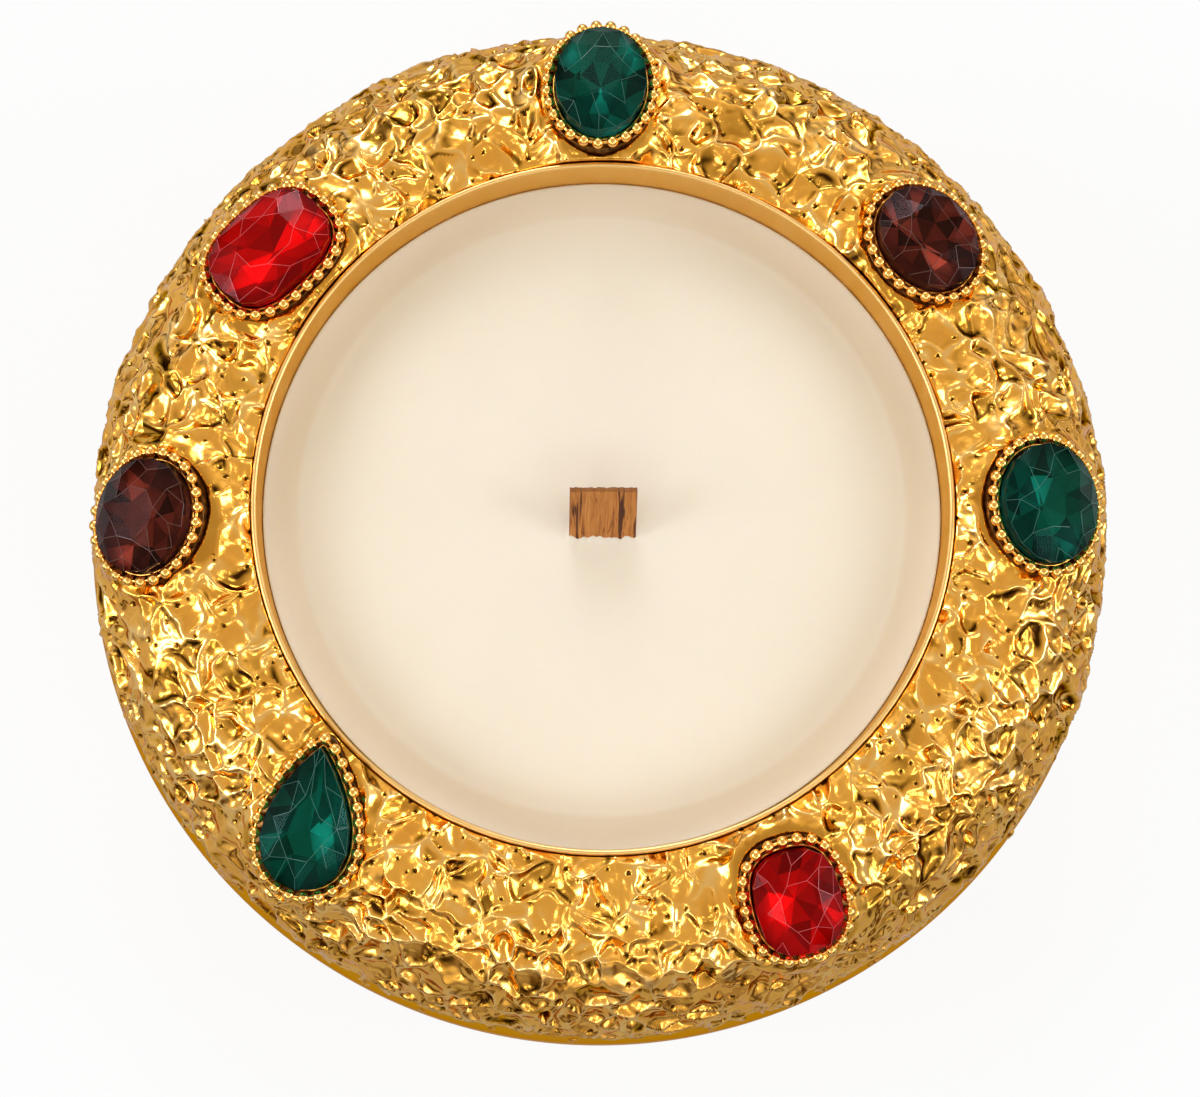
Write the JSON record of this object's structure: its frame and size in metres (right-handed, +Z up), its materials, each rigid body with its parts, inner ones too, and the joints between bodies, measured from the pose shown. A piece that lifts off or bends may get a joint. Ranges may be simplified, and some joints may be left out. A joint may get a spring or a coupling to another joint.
{
  "type": "candle bowl",
  "caption": "Round hammered-gold candle bowl with a smooth inner cup, cream wax, a flat wooden wick and faceted stones in beaded settings round its shoulder.",
  "frame": {"origin": "centre of the flat underside that the bowl stands on", "axes": "+Z up out of the bowl's opening, +X to the right and +Y away from a viewer at the picture's lower edge"},
  "size_m": [0.2, 0.2, 0.102],
  "materials": {
    "hammered_gold": "polished hammered gold plating",
    "smooth_gold": "polished gold plating",
    "satin_gold": "satin gold plating",
    "bead_gold": "polished",
    "wax": "smooth wax",
    "wick_wood": "bare",
    "clip_steel": "tinned",
    "sticker_paper": "matt",
    "emerald_glass": "faceted",
    "ruby_glass": "faceted",
    "garnet_glass": "faceted"
  },
  "bodies": {
    "root": {"hammered_collar": "hammered_gold", "lower_bowl": "smooth_gold", "inner_cup": "satin_gold", "wax": "wax", "wick": "wick_wood", "wick_clip": "clip_steel", "wick_sticker": "sticker_paper", "setting_emerald_back": "smooth_gold", "beads_emerald_back": "bead_gold", "stone_emerald_back": "emerald_glass", "setting_garnet_right": "smooth_gold", "beads_garnet_right": "bead_gold", "stone_garnet_right": "garnet_glass", "setting_emerald_right": "smooth_gold", "beads_emerald_right": "bead_gold", "stone_emerald_right": "emerald_glass", "setting_ruby_front": "smooth_gold", "beads_ruby_front": "bead_gold", "stone_ruby_front": "ruby_glass", "setting_emerald_pear": "smooth_gold", "beads_emerald_pear": "bead_gold", "stone_emerald_pear": "emerald_glass", "setting_garnet_left": "smooth_gold", "beads_garnet_left": "bead_gold", "stone_garnet_left": "garnet_glass", "setting_ruby_back": "smooth_gold", "beads_ruby_back": "bead_gold", "stone_ruby_back": "ruby_glass"}
  },
  "joints": []
}
